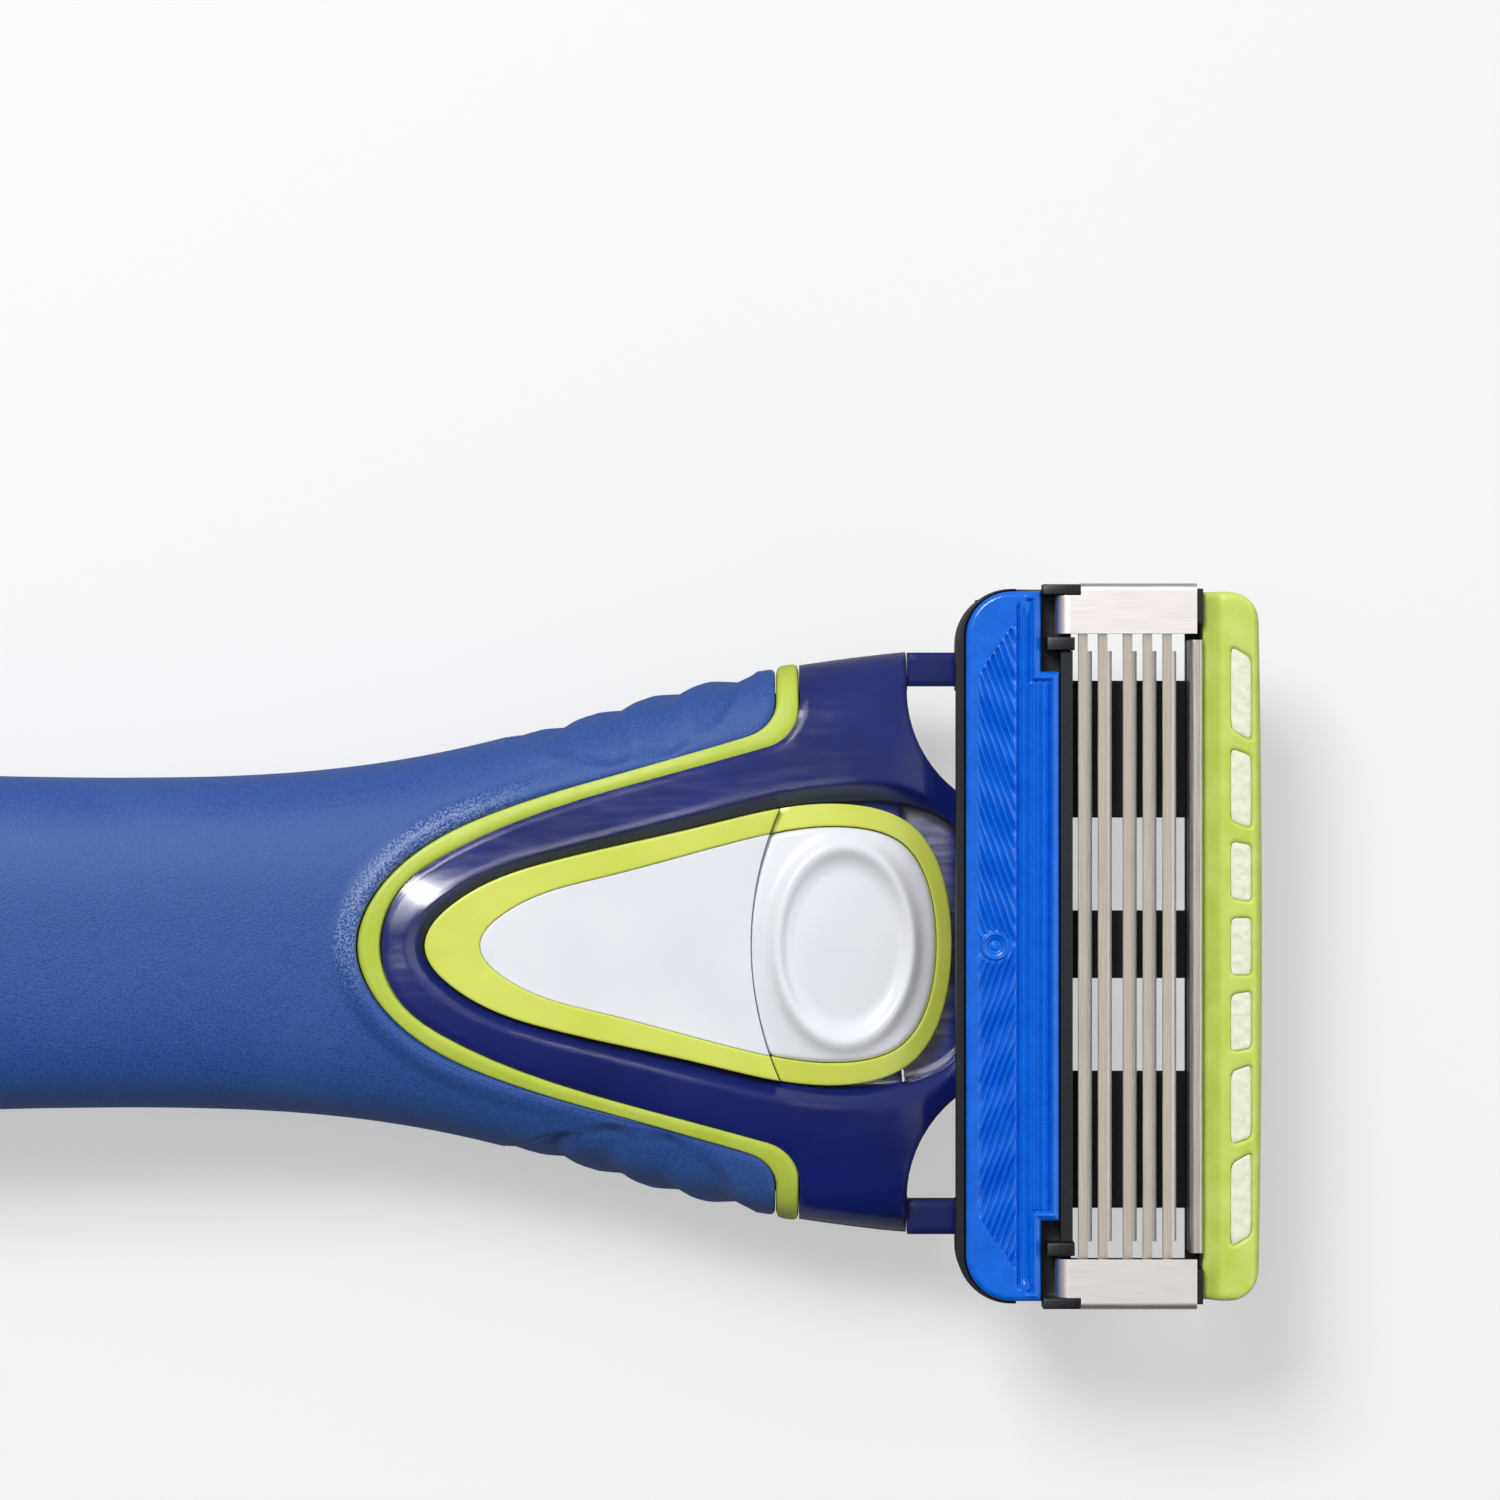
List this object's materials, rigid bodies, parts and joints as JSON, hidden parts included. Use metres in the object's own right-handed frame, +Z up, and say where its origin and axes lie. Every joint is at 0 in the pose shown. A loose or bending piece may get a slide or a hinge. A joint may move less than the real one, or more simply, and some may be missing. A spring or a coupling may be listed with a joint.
{
  "type": "cartridge razor",
  "caption": "Wet-shaving razor with a waisted rubber-gripped handle, a sliding eject button and a pivoting multi-blade cartridge.",
  "frame": {"origin": "bottom centre of the bounding box: the resting plane under the middle of the razor's length", "axes": "+X along the handle towards the cartridge, +Z up out of the blade face, Y across with +Y on the left arm's side"},
  "size_m": [0.145, 0.0426, 0.0149],
  "materials": {
    "navy_gloss": "polished injection-moulded ABS",
    "grip_rubber": "matt thermoplastic rubber with fine grain",
    "lime_soft": "satin thermoplastic rubber",
    "lime_gloss": "semi-gloss moulded plastic",
    "white_gloss": "gloss moulded plastic",
    "mechanism_plastic": "natural acetal",
    "spring_steel": "drawn spring wire",
    "black_plastic": "satin moulded plastic",
    "blue_elastomer": "glossy elastomer",
    "cap_lime": "slightly translucent moulded plastic",
    "lube_white": "waxy lubricating compound",
    "rail_steel": "rolled stainless strip",
    "clip_aluminium": "satin sheet",
    "blade_steel": "ground stainless blade steel",
    "support_steel": "bent stainless strip"
  },
  "bodies": {
    "handle": {"upper_housing": "navy_gloss", "lower_housing": "navy_gloss", "grip": "grip_rubber", "accent_trim": "lime_soft", "tail_ring": "lime_soft", "tail_cap": "navy_gloss", "insert_bezel": "lime_gloss", "insert_plate": "white_gloss", "button_return_spring": "spring_steel", "plunger_spring": "spring_steel"},
    "eject_button": {"button_cap": "white_gloss", "button_bezel": "lime_gloss", "button_slider": "mechanism_plastic"},
    "left_arm": {"arm_left": "navy_gloss"},
    "right_arm": {"arm_right": "navy_gloss"},
    "return_plunger": {"plunger": "mechanism_plastic"},
    "cartridge": {"cartridge_frame": "black_plastic", "guard_strip": "blue_elastomer", "cap_cover": "cap_lime", "lube_strip": "lube_white", "cap_rail": "rail_steel", "clip_left": "clip_aluminium", "clip_right": "clip_aluminium", "blade_1": "blade_steel", "blade_2": "blade_steel", "blade_3": "blade_steel", "blade_4": "blade_steel", "blade_5": "blade_steel", "blade_support_1": "support_steel", "blade_support_2": "support_steel", "blade_support_3": "support_steel", "blade_support_4": "support_steel", "blade_support_5": "support_steel"}
  },
  "joints": [
    {"name": "button_slide", "type": "slide", "parent": "handle", "child": "eject_button", "axis": [1, 0, 0], "range_m": [0, 0.0022], "stiffness_N_per_m": 900, "springref_m": -0.001, "deforming": ["button_return_spring"]},
    {"name": "left_arm_slide", "type": "slide", "parent": "handle", "child": "left_arm", "axis": [0, -1, 0], "range_m": [0, 0.00121]},
    {"name": "right_arm_slide", "type": "slide", "parent": "handle", "child": "right_arm", "axis": [0, 1, 0], "range_m": [0, 0.00121]},
    {"name": "cartridge_pivot", "type": "hinge", "parent": "handle", "child": "cartridge", "pos_m": [0.0575, 0, 0.00875], "axis": [0, 1, 0], "range_deg": [0, 40]},
    {"name": "plunger_slide", "type": "slide", "parent": "handle", "child": "return_plunger", "axis": [-1, 0, 0], "range_m": [0, 0.00179], "deforming": ["plunger_spring"]}
  ],
  "couplings": [
    {"joint": "left_arm_slide", "follows": "button_slide", "ratio": 0.54546},
    {"joint": "right_arm_slide", "follows": "button_slide", "ratio": 0.54546},
    {"joint": "plunger_slide", "follows": "cartridge_pivot", "m_per_rad": 0.0025475}
  ]
}
